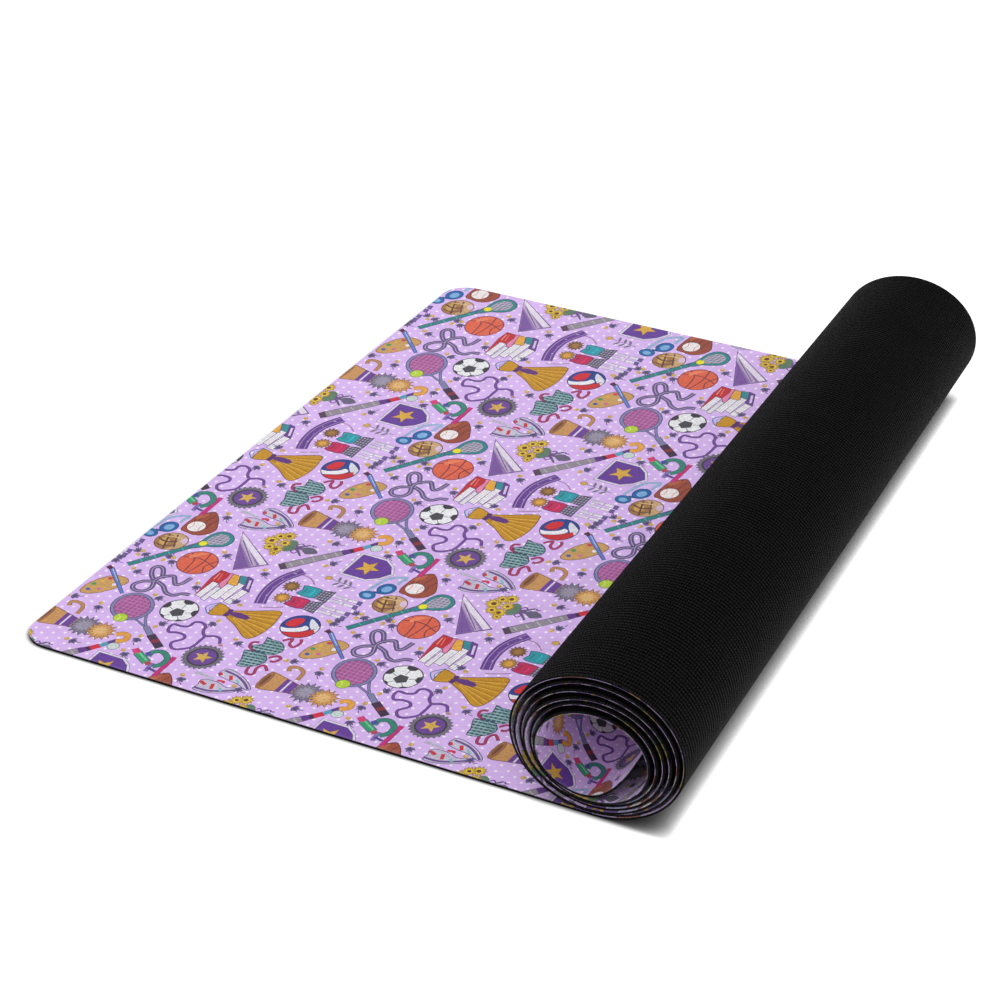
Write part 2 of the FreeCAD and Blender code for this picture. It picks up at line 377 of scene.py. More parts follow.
def plaid_hair_bows():
    for path in ([(612, 410), (650, 370), (664, 420), (700, 436), (712, 384), (694, 352)],
                 [(540, 560), (490, 540), (476, 496), (510, 478)],
                 [(640, 582), (672, 546), (704, 560), (690, 598), (664, 604)],
                 [(596, 700), (616, 756), (656, 748), (640, 690), (662, 652), (706, 690)]):
        stroke(path, 13, (176, 52, 100), edge=((112, 36, 82), 3))
    for outline, x0, y0 in (
            ([(524, 420), (560, 430), (606, 426), (652, 456), (668, 500), (640, 548),
              (590, 560), (520, 548), (496, 520), (540, 486)], 490, 410),
            ([(486, 574), (530, 566), (590, 556), (640, 600), (636, 650), (590, 700),
              (528, 714), (520, 660), (502, 620)], 480, 555)):
        bow = blob(outline, (58, 88, 104), steps=2, edge=((48, 40, 84), 5))
        for i in range(7):
            x, y = x0 + i * 28, y0 + i * 26
            shape([(x, y0), (x + 10, y0), (x + 34, y0 + 170), (x + 24, y0 + 170)],
                  (104, 152, 160), within=bow)
            shape([(x0, y), (x0 + 190, y - 26), (x0 + 190, y - 16), (x0, y + 10)],
                  (160, 190, 192), within=bow)


def palette_and_brush():
    blob([(772, 482), (776, 400), (822, 312), (882, 272), (956, 290), (950, 352), (902, 432),
          (850, 482), (800, 500)], (206, 160, 96), edge=((118, 76, 70), 5))
    for x, y, r, colour in (
            (802, 400, 16, (70, 150, 90)), (852, 316, 16, (206, 60, 76)),
            (804, 458, 15, (70, 90, 170)), (858, 430, 13, (214, 96, 160)),
            (824, 356, 13, (232, 180, 60))):
        oval(x, y, r, r * 0.85, colour, sides=9)
    disc(908, 358, 14, (240, 234, 248), sides=9)
    bar((792, 224), (1002, 412), 24, (98, 128, 204), end_width=14, edge=(INK, 4))
    bar((800, 226), (900, 318), 6, (170, 196, 236))
    bar((764, 216), (800, 232), 34, (84, 34, 66), end_width=26)


def striped_ribbon_bow():
    for path in ([(1110, 190), (1060, 110), (1020, 96), (1004, 130), (1040, 190), (1090, 230)],
                 [(1090, 230), (1030, 260), (1004, 310), (1036, 350), (1090, 340), (1110, 290),
                  (1084, 220), (1100, 170)],
                 [(1096, 176), (1150, 142), (1180, 170), (1212, 206), (1240, 180), (1252, 112)],
                 [(1100, 226), (1160, 250), (1210, 296), (1262, 304), (1300, 268), (1344, 258)]):
        stroke(path, 24, (104, 84, 138), edge=((70, 48, 106), 3))
        stroke(path, 5, (180, 170, 200))


def football():
    ball = disc(1385, 412, 102, (242, 242, 246), sides=28, edge=((54, 48, 70), 7))
    shape(star(1386, 434, 44, 36, 5, 90), (74, 72, 80), within=ball)
    for x, y, r, turn in ((1386, 312, 36, 90), (1488, 396, 34, 0), (1448, 512, 30, 30),
                          (1322, 512, 30, 60), (1284, 396, 34, 36)):
        disc(x, y, r, (60, 58, 66), sides=7, turn=turn, within=ball)
    for start, end in (((1386, 392), (1386, 345)), ((1424, 420), (1462, 402)),
                       ((1410, 466), (1434, 492)), ((1362, 466), (1338, 492)),
                       ((1348, 420), (1310, 402))):
        bar(start, end, 5, (120, 116, 130), within=ball)


def tennis_racket():
    bar((1222, 590), (1318, 632), 10, (128, 130, 176), edge=(INK, 3))
    stroke([(1246, 520), (1280, 580), (1330, 640)], 12, (128, 130, 176), edge=(INK, 3))
    oval(1130, 494, 118, 134, (132, 134, 180), sides=30, turn=-32, edge=(INK, 5))
    strings = oval(1130, 494, 98, 114, (168, 84, 150), sides=28, turn=-32,
                   edge=((90, 60, 120), 4))
    for i in range(9):
        bar((1010 + 28 * i, 372), (1010 + 28 * i, 620), 3.2, (206, 146, 196), within=strings)
        bar((1000, 384 + 28 * i), (1260, 384 + 28 * i), 3.2, (206, 146, 196), within=strings)
    bar((1316, 624), (1392, 684), 30, (130, 132, 172), edge=(INK, 4))
    bar((1388, 680), (1506, 762), 44, (66, 44, 72), edge=((50, 30, 66), 3))
    bar((1436, 706), (1458, 728), 44, (142, 48, 60))
    disc(1138, 612, 38, (186, 216, 60), sides=16, edge=((96, 120, 40), 4))
    stroke([(1112, 594), (1134, 612), (1130, 646)], 5, (228, 240, 150), steps=3)


def megaphone_and_pom_poms():
    stroke([(812, 640), (800, 600), (850, 590), (890, 620), (900, 690)], 20, (190, 136, 84),
           edge=(BROWN, 3))
    cone = shape([(738, 690), (762, 684), (940, 728), (944, 808), (764, 848), (740, 836)],
                 (204, 150, 92), edge=(BROWN, 5))
    shape([(846, 640), (930, 640), (936, 880), (850, 900)], (112, 62, 158), within=cone)
    shape([(872, 640), (884, 640), (890, 900), (878, 900)], (228, 214, 240), within=cone)
    oval(746, 764, 22, 82, (168, 110, 66), sides=20, edge=(BROWN, 4))
    oval(746, 764, 12, 58, (120, 74, 52), sides=16)
    shape(star(1010, 768, 92, 60, 15, 4), (126, 118, 140), edge=((74, 60, 100), 4))
    shape(star(1006, 768, 62, 36, 13, 12), (158, 150, 172))
    shape(star(1122, 770, 84, 54, 14, 0), (206, 150, 86), edge=((124, 80, 60), 4))
    shape(star(1118, 770, 52, 30, 12, 10), (230, 184, 120))


def hockey_stick_and_ball():
    bar((914, 1236), (1146, 962), 62, (150, 142, 154), end_width=44, edge=(INK, 4))
    rungs([914, 1236], [1146, 962], (0.12, 0.3, 0.48, 0.66, 0.84), ((-20, -8), (18, 16)),
          7, (190, 184, 192))
    for start, end, width, colour in (
            ((896, 1256), (922, 1228), 64, (86, 64, 86)),
            ((1128, 984), (1160, 946), 46, (100, 52, 140)),
            ((1158, 950), (1174, 930), 44, (60, 34, 74)),
            ((1170, 934), (1206, 888), 42, (212, 40, 66)),
            ((1204, 890), (1232, 846), 36, (84, 160, 186)),
            ((1228, 850), (1256, 806), 32, (92, 60, 140))):
        bar(start, end, width, colour)
    stroke([(1252, 816), (1292, 790), (1286, 748), (1250, 736), (1216, 762)], 34, (232, 166, 72),
           edge=((140, 90, 60), 3))
    disc(1272, 862, 32, (204, 218, 216), sides=14, edge=((120, 110, 140), 4))


def microscope():
    bar((1560, 900), (1572, 985), 20, (136, 116, 192), edge=(INK, 3))
    bar((1566, 950), (1622, 962), 18, (92, 66, 146))
    bar((1636, 800), (1640, 1000), 26, (206, 42, 126), edge=((120, 30, 90), 3))
    stroke([(1500, 860), (1500, 812), (1550, 790), (1606, 830), (1610, 890), (1580, 930)],
           30, (48, 138, 118), edge=(INK, 4))
    bar((1424, 852), (1530, 912), 46, (52, 160, 112), edge=(INK, 4))
    bar((1440, 852), (1520, 896), 10, (120, 204, 160))
    bar((1392, 828), (1432, 856), 34, (222, 60, 116), edge=(INK, 3))
    bar((1524, 904), (1552, 924), 34, (176, 72, 84))
    bar((1476, 826), (1498, 850), 30, (76, 74, 160))


def shield():
    outline = [(1245, 945), (1392, 945), (1450, 985), (1488, 1047), (1450, 1108), (1392, 1150),
               (1245, 1150)]
    shape(expand(outline, 16), (226, 218, 236), edge=((120, 104, 150), 3))
    shape(outline, (104, 60, 158), edge=((70, 40, 112), 3))
    shape(star(1340, 1047, 70, 30, 5, 0), (222, 172, 70), edge=((120, 84, 60), 3))


def goggles():
    for strap in ([(1468, 1236), (1484, 1150), (1510, 1086), (1560, 1050), (1600, 1040)],
                  [(1580, 1120), (1584, 1080), (1600, 1050)]):
        stroke(strap, 16, (176, 206, 232), edge=((110, 140, 190), 3))
        stroke(strap, 4, (96, 140, 190))
    bar((1500, 1240), (1546, 1230), 20, (26, 90, 150))
    oval(1552, 1182, 48, 54, (30, 100, 168), sides=18, turn=20, edge=((24, 60, 120), 4))
    oval(1554, 1184, 27, 32, (128, 176, 226), sides=14, turn=20)
    oval(1490, 1278, 46, 38, (34, 108, 170), sides=18, turn=10, edge=((24, 60, 120), 4))
    oval(1490, 1280, 26, 20, (130, 180, 226), sides=14, turn=10)


def bouquet():
    for stem in ([(800, 1050), (900, 1050), (1004, 1046)], [(800, 1010), (870, 1040), (930, 990)],
                 [(800, 1090), (870, 1060), (936, 1112)]):
        stroke(stem, 26, (98, 98, 122), steps=3, end_width=12)
    blob([(806, 990), (850, 1000), (866, 1050), (850, 1100), (806, 1110), (790, 1050)],
         (96, 128, 104), steps=2)
    blob([(900, 1040), (950, 1010), (1008, 1046), (950, 1084)], (104, 98, 124), steps=2)
    stroke([(878, 1000), (858, 1030), (884, 1052), (900, 1020), (878, 1000)], 9, (120, 70, 150),
           steps=3)
    stroke([(880, 1060), (858, 1090), (884, 1104), (896, 1076), (880, 1060)], 9, (120, 70, 150),
           steps=3)
    stroke([(936, 988), (948, 1000), (966, 994)], 9, (104, 60, 140), steps=2)
    for x, y, r in ((766, 968, 42), (784, 1038, 36), (772, 1110, 44), (702, 1046, 48),
                    (722, 990, 36), (726, 1104, 36), (786, 1150, 26)):
        shape(star(x, y, r, r * 0.66, 11, x), (214, 178, 48), edge=((140, 100, 40), 3))
        shape(star(x, y, r * 0.66, r * 0.42, 9, y), (236, 206, 70))
        disc(x, y, r * 0.34, (112, 60, 44), sides=8)


def sneakers():
    shoe = blob([(506, 770), (560, 772), (650, 810), (716, 862), (722, 886), (690, 884),
                 (640, 862), (570, 852), (500, 836), (490, 800)],
                (206, 198, 222), edge=((86, 66, 130), 5))
    stroke([(502, 786), (590, 800), (660, 836), (716, 882)], 15, (112, 74, 150), within=shoe)
    bar((492, 812), (510, 834), 20, (206, 52, 62), within=shoe)
    bar((560, 812), (584, 850), 20, (206, 52, 62), within=shoe)
    bar((610, 830), (640, 858), 14, (140, 190, 200), within=shoe)
    stroke([(370, 868), (430, 872), (500, 882)], 26, (190, 186, 204), steps=3, end_width=16)
    shoe = blob([(440, 920), (470, 900), (540, 900), (600, 920), (650, 902), (672, 912),
                 (640, 950), (570, 990), (490, 1010), (446, 1000), (452, 960)],
                (204, 196, 220), edge=((86, 66, 130), 5))
    stroke([(446, 990), (530, 986), (610, 950), (668, 910)], 16, (112, 74, 150), within=shoe)
    bar((442, 926), (486, 944), 22, (206, 52, 62), within=shoe)
    bar((520, 920), (536, 966), 20, (206, 52, 62), within=shoe)
    bar((574, 936), (596, 962), 16, (140, 190, 200), within=shoe)
    stroke([(520, 884), (556, 876), (560, 892)], 18, (206, 60, 70), steps=3)


def rosette():
    shape(star(318, 733, 116, 100, 24, 3), (116, 112, 126), edge=((80, 72, 100), 3))
    disc(318, 733, 88, (66, 58, 74), sides=24)
    disc(318, 733, 76, (110, 70, 152))
    shape(star(318, 733, 56, 24, 5, -90), (220, 176, 84))


def lanyard():
    cord = [(1775, 587), (1745, 542), (1705, 537), (1660, 557), (1625, 527), (1605, 477),
            (1565, 457), (1530, 472), (1525, 517), (1485, 537), (1440, 537), (1435, 577),
            (1460, 612), (1505, 597), (1555, 602), (1570, 637), (1535, 687), (1555, 727),
            (1590, 737), (1635, 707), (1660, 667), (1660, 557)]
    stroke(cord, 13, (118, 74, 158), edge=((84, 50, 122), 3))
    oval(1788, 596, 16, 11, (176, 140, 120), sides=8)


def banner():
    stroke([(1042, 1232), (990, 1330), (974, 1420), (984, 1520), (1014, 1610)],
           58, (106, 62, 150), steps=5, edge=(INK, 5))
    stroke([(1024, 1226), (972, 1330), (956, 1420), (966, 1520), (994, 1612)],
           5, (176, 150, 206), steps=5)
    stroke([(1060, 1238), (1010, 1334), (992, 1420), (1002, 1520), (1030, 1604)],
           5, (176, 150, 206), steps=5)
    # level dashes, shortened and raised by the angle in the last column
    for x, y, angle in ((1014, 1290, 62), (984, 1370, 78), (984, 1460, 94), (1000, 1544, 106)):
        reach, rise = 22 * math.cos(math.radians(angle)), 22 * math.sin(math.radians(angle))
        bar((x - reach, y - rise), (x + reach, y - rise), 9, (190, 168, 216))
    stroke([(1056, 1266), (1120, 1276), (1176, 1320)], 7, (150, 110, 150), steps=3)
    stroke([(1030, 1640), (1100, 1610), (1150, 1580)], 7, (150, 110, 150), steps=3)


def dressed_figures():
    """Two figures on their sides, the second lower on the sheet."""
    for down, top, hair, skin in ((0, (42, 158, 172), (128, 92, 50), (214, 206, 232)),
                                  (118, (196, 40, 92), (176, 128, 56), (222, 214, 238))):
        x, y = 1072 + down * 0.15, 1388 + down
        shape(star(x, y, 50, 34, 13, down), hair, edge=((84, 52, 60), 3))
        shape(star(x, y, 30, 18, 10, 20 + down), scaled(hair, 1.3))
        blob([(1134, 1352 + down), (1186, 1344 + down), (1244, 1348 + down), (1250, 1390 + down),
              (1244, 1432 + down), (1186, 1440 + down), (1134, 1430 + down), (1148, 1390 + down)],
             top, steps=2, edge=((60, 44, 110), 5))
        stroke([(1160, 1366 + down), (1166, 1392 + down), (1160, 1418 + down)],
               7, scaled(top, 0.7), steps=3)
        stroke([(1206, 1360 + down), (1212, 1392 + down), (1206, 1424 + down)],
               7, scaled(top, 1.25), steps=3)
        skirt = shape([(1250, 1352 + down), (1322, 1332 + down), (1326, 1444 + down),
                       (1250, 1430 + down)], (110, 104, 130), edge=((70, 56, 104), 4))
        for i in range(4):
            x = 1254 + 19 * i
            shape([(x, 1320 + down), (x + 7, 1320 + down), (x + 7, 1450 + down),
                   (x, 1450 + down)], (176, 170, 190), within=skirt)
        for i in range(5):
            y = 1340 + 22 * i + down
            shape([(1246, y + 4), (1330, y), (1330, y + 7), (1246, y + 11)], (66, 58, 88),
                  within=skirt)
        for y in (1368 + down, 1412 + down):
            bar((1340, y), (1404, y), 24, skin, end_width=22, edge=((150, 120, 150), 3))
            bar((1404, y), (1486, y), 21, (238, 234, 244), end_width=19,
                edge=((150, 140, 176), 3))
            bar((1420, y), (1428, y), 21, (170, 150, 196))
            shape([(1486, y - 14), (1510, y - 16), (1516, y + 20), (1490, y + 14)],
                  (110, 90, 160), edge=((66, 48, 110), 3))


def sprigs():
    """Small leaf sprigs with one berry each."""
    stem = np.array([(10, 0), (38, 4), (66, -6)], float)
    leaf = np.array([(-10, 2), (4, -24), (26, -30), (22, -14), (44, -10), (28, 4), (40, 22),
                     (18, 18), (8, 30), (-4, 18)], float)
    fold = np.array([(0, 0), (18, -12), (24, 0), (14, 12)], float)
    parts = ((leaf, (104, 92, 138)), (fold, (76, 66, 106)),
             (ellipse(-30, -4, 17, 15, 9), (206, 166, 84)),
             (ellipse(-35, -9, 6, 5, 6), (240, 214, 140)))
    for x, y, turn in (
            (175, 208, 200), (762, 122, -60), (932, 186, 20), (1326, 170, 60), (1200, 356, 20),
            (180, 430, 100), (402, 530, 30), (770, 552, -20), (962, 572, 70), (1376, 575, -70),
            (1348, 742, 80), (334, 950, 60), (1030, 918, 0), (1364, 890, 40), (1140, 1108, -60),
            (100, 1470, 230), (285, 1450, -80), (560, 1282, 30), (860, 1342, 50),
            (1478, 1596, 10), (870, 20, 30), (1052, 14, 60), (660, 900, 20)):
        stroke(rotated(stem, x, y, turn), 6, (120, 84, 150), steps=2)
        for outline, colour in parts:
            shape(rotated(outline, x, y, turn), colour)


def long_sprig():
    stroke([(1206, 1226), (1290, 1238), (1400, 1250)], 5, (120, 100, 150), steps=3)
    oval(1206, 1228, 20, 18, (214, 170, 86), sides=10, edge=((130, 96, 80), 3))
    for x, y, turn in ((1270, 1214, 70), (1274, 1262, -60), (1310, 1220, 70),
                       (1310, 1268, -60), (1346, 1224, 60), (1350, 1268, -50)):
        oval(x, y, 24, 9, (120, 118, 134), sides=8, turn=turn)


# later motifs lie over earlier ones
for motif in (basketball, books, lacrosse_stick, glove_and_ball, catchers_mask, pennant,
              volleyball, pleated_dress, plaid_hair_bows, palette_and_brush, striped_ribbon_bow,
              football, tennis_racket, megaphone_and_pom_poms, hockey_stick_and_ball, microscope,
              shield, goggles, bouquet, sneakers, rosette, lanyard, banner, dressed_figures,
              sprigs, long_sprig):
    motif()

# ------------------------------------------------------------------ print placement
# Print lattice (u, v), in repeats, to millimetres from the roll-off line and the near border.
LATTICE_TO_MAT = np.array([[156.236865, 23.7098024, -324.974441],
                           [-0.427297, 174.328454, 127.145518],
                           [0.0124444481, -0.0648259882, 1.0]])
MAT_TO_LATTICE = np.linalg.inv(LATTICE_TO_MAT)
SHEET_U, SHEET_V = -0.32, 0.98          # the sheet's origin on the lattice
# In the coil the print is unskewed: a sheet point is pinned to a point of the mat.
COIL_SHEET_X, COIL_SHEET_Y = 1530.0, 870.0
COIL_ALONG = along_at_dir(2125.0) + 16.0
COIL_ACROSS = -HALF_W + 21.0
COIL_SCALE_X, COIL_SCALE_Y = 125.0 / SHEET, 140.0 / SHEET
MIN_AREA = 0.02                         # mm2, smaller clippings are dropped


def project(matrix, a, b):
    w = matrix[2, 0] * a + matrix[2, 1] * b + matrix[2, 2]
    return ((matrix[0, 0] * a + matrix[0, 1] * b + matrix[0, 2]) / w,
            (matrix[1, 0] * a + matrix[1, 1] * b + matrix[1, 2]) / w)


def sheet_to_mat(x, y):
    along, across = project(LATTICE_TO_MAT, SHEET_U + x / SHEET, SHEET_V - y / SHEET)
    return np.stack([along, across - HALF_W], -1)


def mat_to_sheet(along, across):
    u, v = project(MAT_TO_LATTICE, along, across + HALF_W)
    return np.stack([(u - SHEET_U) * SHEET, (SHEET_V - v) * SHEET], -1)


def sheet_to_coil(x, y):
    return np.stack([COIL_ALONG + (x - COIL_SHEET_X) * COIL_SCALE_X,
                     COIL_ACROSS + (COIL_SHEET_Y - y) * COIL_SCALE_Y], -1)


def coil_to_sheet(along, across):
    return np.stack([(along - COIL_ALONG) / COIL_SCALE_X + COIL_SHEET_X,
                     COIL_SHEET_Y - (across - COIL_ACROSS) / COIL_SCALE_Y], -1)


def clip(p, axis, limit, sign):
    """The part of a polygon on one side of an axis line, or None."""
    d = (p[:, axis] - limit) * sign
    if (d >= 0).all():
        return p
    if (d < 0).all():
        return None
    out = []
    for i in range(len(p)):
        j = (i + 1) % len(p)
        if d[i] >= 0:
            out.append(p[i])
        if (d[i] >= 0) != (d[j] >= 0):
            out.append(p[i] + (p[j] - p[i]) * (d[i] / (d[i] - d[j])))
    return np.array(out) if len(out) > 2 else None


def clip_box(p, box):
    """A polygon cut to (x0, x1, y0, y1), or None if next to nothing is left."""
    for axis, limit, sign in ((0, box[0], 1), (0, box[1], -1), (1, box[2], 1), (1, box[3], -1)):
        p = clip(p, axis, limit, sign)
        if p is None:
            return None
    return p if abs(area(p)) > MIN_AREA else None


def placed(to_mat, start, end, boxes):
    """Every drawn shape that falls in the boxes, as (points, layer, repeat)."""
    out = []
    for j in range(-4, 5):
        for i in range(-14, 15):
            dx, dy = SHEET * (i + 0.5 * j), -SHEET * j
            # a frame around everything drawn on the sheet
            c = to_mat(np.array([-100.0, 1900.0, 1900.0, -100.0]) + dx,
                       np.array([-100.0, -100.0, 1800.0, 1800.0]) + dy)
            if (c[:, 0].max() < start or c[:, 0].min() > end
                    or c[:, 1].max() < -HALF_W or c[:, 1].min() > HALF_W):
                continue
            for layer, (points, _, _) in enumerate(ART):
                q = to_mat(points[:, 0] + dx, points[:, 1] + dy)
                lo, hi = q.min(0), q.max(0)
                for b in boxes:
                    if hi[0] <= b[0] or lo[0] >= b[1] or hi[1] <= b[2] or lo[1] >= b[3]:
                        continue
                    cut = clip_box(q, b)
                    if cut is not None:
                        out.append((cut, layer, (i, j)))
    return out


def linear_rgb(colour):
    c = np.asarray(colour, float) / 255.0
    return np.where(c <= 0.04045, c / 12.92, ((c + 0.055) / 1.055) ** 2.4)


# alpha marks the plain background, which alone carries the dots
LAVENDER = np.append(linear_rgb((214, 180, 238)), 1.0)
PAINT = [np.append(linear_rgb(colour), 0.0) for _, colour, _ in ART]
CLIP_SHAPES = {within for _, _, within in ART if within is not None}
WALL_SHADE = (0.42, 0.42, 0.42, 0.0)    # the cut edge of the suede is darker


# ------------------------------------------------------------------ meshes
SMOOTH_DEG = 40.0
RUBBER_ROW = 38.0                       # spacing of the rubber's mesh lines across the width


def attribute(mesh, name, kind, domain, data, key):
    a = mesh.attributes.new(name, kind, domain)
    a.data.foreach_set(key, np.asarray(data, np.float32).ravel())


def new_object(name, flat, heights, faces, material, slot):
    """A layer from its unrolled points; a rubber layer keeps them as the attribute sy."""
    mesh = bpy.data.meshes.new(name)
    verts = place(flat[:, 0], flat[:, 1], heights)
    mesh.from_pydata([tuple(v) for v in verts], [], faces)
    mesh.update()
    o = bpy.data.objects.new(name, mesh)
    bpy.context.scene.collection.objects.link(o)
    mesh.materials.append(material)
    mesh.polygons.foreach_set("use_smooth", np.ones(len(mesh.polygons), bool))
    mesh.set_sharp_from_angle(angle=math.radians(SMOOTH_DEG))
    if slot == "rubber":
        attribute(mesh, "sy", "FLOAT_VECTOR", "POINT", np.column_stack([flat, heights]), "vector")
    return o


def section_lines(start, end, step):
    """Section lines for a curved stretch, with a close pair at each end so that
    neighbouring pieces shade alike where they meet."""
    count = max(1, int(math.ceil((end - start) / step)))
    t = np.linspace(start, end, count + 1)
    pair = 0.3
    return np.unique(np.round(np.concatenate([[start, start + pair], t[1:-1],
                                              [end - pair, end]]), 5))


def strip(start, end):
    return np.array([(start, -HALF_W), (end, -HALF_W), (end, HALF_W), (start, HALF_W)])


def rounded(inner, tip):
    """Outline of an end panel with its two rounded corners, from the inner edge to the tip."""
    d = 1.0 if tip > inner else -1.0
    centre = tip - d * CORNER_R
    out = [(inner, -HALF_W)]
    for a0, a1, y in ((-90, 0, -HALF_W + CORNER_R), (0, 90, HALF_W - CORNER_R)):
        for t in np.radians(np.linspace(a0, a1, 11)):
            out.append((centre + d * CORNER_R * math.cos(t), y + CORNER_R * math.sin(t)))
    out.append((inner, HALF_W))
    return np.array(out)


def inside(p, q):
    """Which points q lie in polygon p, by crossings."""
    a, b = p, np.roll(p, -1, 0)
    x, y = q[:, 0][:, None], q[:, 1][:, None]
    up = (a[:, 1] > y) != (b[:, 1] > y)
    dy = b[:, 1] - a[:, 1]
    cross = a[:, 0] + (y - a[:, 1]) * (b[:, 0] - a[:, 0]) / np.where(dy == 0, 1.0, dy)
    return (np.sum(up & (x < cross), 1) % 2) == 1


def arrange(outline, sections, shapes, rows=()):
    """Triangles of an outline, cut along its section lines, rows and every shape's edges."""
    verts, edges = [], []

    def put(p, closed=True):
        first, n = len(verts), len(p)
        verts.extend(Vector((float(a), float(b))) for a, b in p)
        edges.extend((first + i, first + (i + 1) % n) for i in range(n if closed else n - 1))

    lo, hi = outline[:, 0].min(), outline[:, 0].max()
    put(outline)
    for s in sections:
        if lo + 1e-6 < s < hi - 1e-6:
            put([(s, -HALF_W - 1), (s, HALF_W + 1)], closed=False)
    for y in rows:
        put([(lo - 1, y), (hi + 1, y)], closed=False)
    for p in shapes:
        put(p)
    found, _, faces = delaunay_2d_cdt(verts, edges, [], 0, 1e-3, False)[:3]
    points = np.array([(a.x, a.y) for a in found])
    tri = np.array([t[:3] for t in faces], int)
    keep = inside(outline, points[tri].mean(1))
    e1, e2 = points[tri[:, 1]] - points[tri[:, 0]], points[tri[:, 2]] - points[tri[:, 0]]
    signed = 0.5 * (e1[:, 0] * e2[:, 1] - e1[:, 1] * e2[:, 0])
    tri[signed < 0] = tri[signed < 0][:, ::-1]
    tri = tri[keep & (np.abs(signed) > 1e-9)]
    return points, tri, [tuple(int(x) for x in t) for t in tri]


def triangle_colours(centres, art):
    """The topmost print colour at each triangle's centre."""
    order = np.argsort(centres[:, 0], kind="stable")
    sorted_x = centres[order, 0]
    top = np.full(len(centres), -1)
    covered = {}                        # triangles under each clip shape
    for p, layer, repeat in sorted(art, key=lambda entry: entry[1]):
        i0, i1 = np.searchsorted(sorted_x, [p[:, 0].min(), p[:, 0].max()])
        ids = order[i0:i1]
        y = centres[ids, 1]
        ids = ids[(y > p[:, 1].min()) & (y < p[:, 1].max())]
        if not len(ids):
            continue
        ids = ids[inside(p, centres[ids])]
        if layer in CLIP_SHAPES:
            covered.setdefault((layer, repeat), np.zeros(len(centres), bool))[ids] = True
        within = ART[layer][2]
        if within is not None:
            cover = covered.get((within, repeat))
            ids = ids[cover[ids]] if cover is not None else ids[:0]
        top[ids] = layer
    return [LAVENDER if k < 0 else PAINT[k] for k in top]


def border_edges(triangles):
    """Directed edges with no opposite, each with the index of its triangle."""
    owner = {}
    for i, t in enumerate(triangles):
        for edge in zip(t, t[1:] + t[:1]):
            owner[edge] = i
    return {edge: i for edge, i in owner.items() if edge[::-1] not in owner}


def used_points(count, faces):
    """Which points the faces use, and each one's place once the others are gone."""
    used = np.zeros(count, bool)
    for face in faces:
        used[list(face)] = True
    return used, np.cumsum(used) - 1


def suede_piece(name, outline, sections, art, to_sheet):
    """A closed printed layer: the print on top, plain walls and underside."""
    points, tri, triangles = arrange(outline, sections, [entry[0] for entry in art])
    colours = triangle_colours(points[tri].mean(1), art)
    border = border_edges(triangles)
    following = {a: b for a, b in border}
    used, index = used_points(len(points), triangles)
    top = points[used]
    faces = [tuple(int(index[k]) for k in t) for t in triangles]
    loop = list(following)
    low = {k: len(top) + i for i, k in enumerate(loop)}
    for a, b in following.items():
        faces.append((int(index[b]), int(index[a]), low[a], low[b]))
        colours.append(colours[border[a, b]] * WALL_SHADE)
    # underside, one face per section
    ring = [loop[0]]
    while following[ring[-1]] != ring[0] and len(ring) <= len(loop):
        ring.append(following[ring[-1]])
    ring_x = points[ring][:, 0]
    lo, hi = ring_x.min(), ring_x.max()
    cuts = np.unique([lo, *[s for s in sections if lo < s < hi], hi])
    for a, b in zip(cuts, cuts[1:]):
        face = [k for k, x in zip(ring, ring_x) if a - 1e-4 <= x <= b + 1e-4]
        if len(face) > 2:
            faces.append(tuple(low[k] for k in face[::-1]))
            colours.append(LAVENDER)
    flat = np.vstack([top, points[loop]])
    heights = np.concatenate([np.full(len(top), MAT_T), np.full(len(loop), RUBBER_T)])
    o = new_object(name, flat, heights, faces, SUEDE, "suede")
    attribute(o.data, "print", "FLOAT_COLOR", "FACE", colours, "color")
    attribute(o.data, "sy", "FLOAT_VECTOR", "POINT", np.column_stack([flat, heights]), "vector")
    on_sheet = np.column_stack([to_sheet(flat[:, 0], flat[:, 1]), np.zeros(len(flat))])
    attribute(o.data, "cell", "FLOAT_VECTOR", "POINT", on_sheet, "vector")
    return o


def rubber_piece(name, outline, sections):
    """A closed rubber layer on the same section lines."""
    rows = np.linspace(-HALF_W, HALF_W, int(round(2 * HALF_W / RUBBER_ROW)) + 1)[1:-1]
    points, _, top = arrange(outline, sections, [], rows)
    n = len(points)
    faces = top + [tuple(k + n for k in t[::-1]) for t in top]
    faces += [(b, a, a + n, b + n) for a, b in border_edges(top)]
    used, index = used_points(2 * n, faces)
    faces = [tuple(int(index[k]) for k in face) for face in faces]
    flat = np.vstack([points, points])[used]
    heights = np.concatenate([np.full(n, RUBBER_T), np.zeros(n)])[used]
    o = new_object(name, flat, heights, faces, RUBBER, "rubber")
    return o


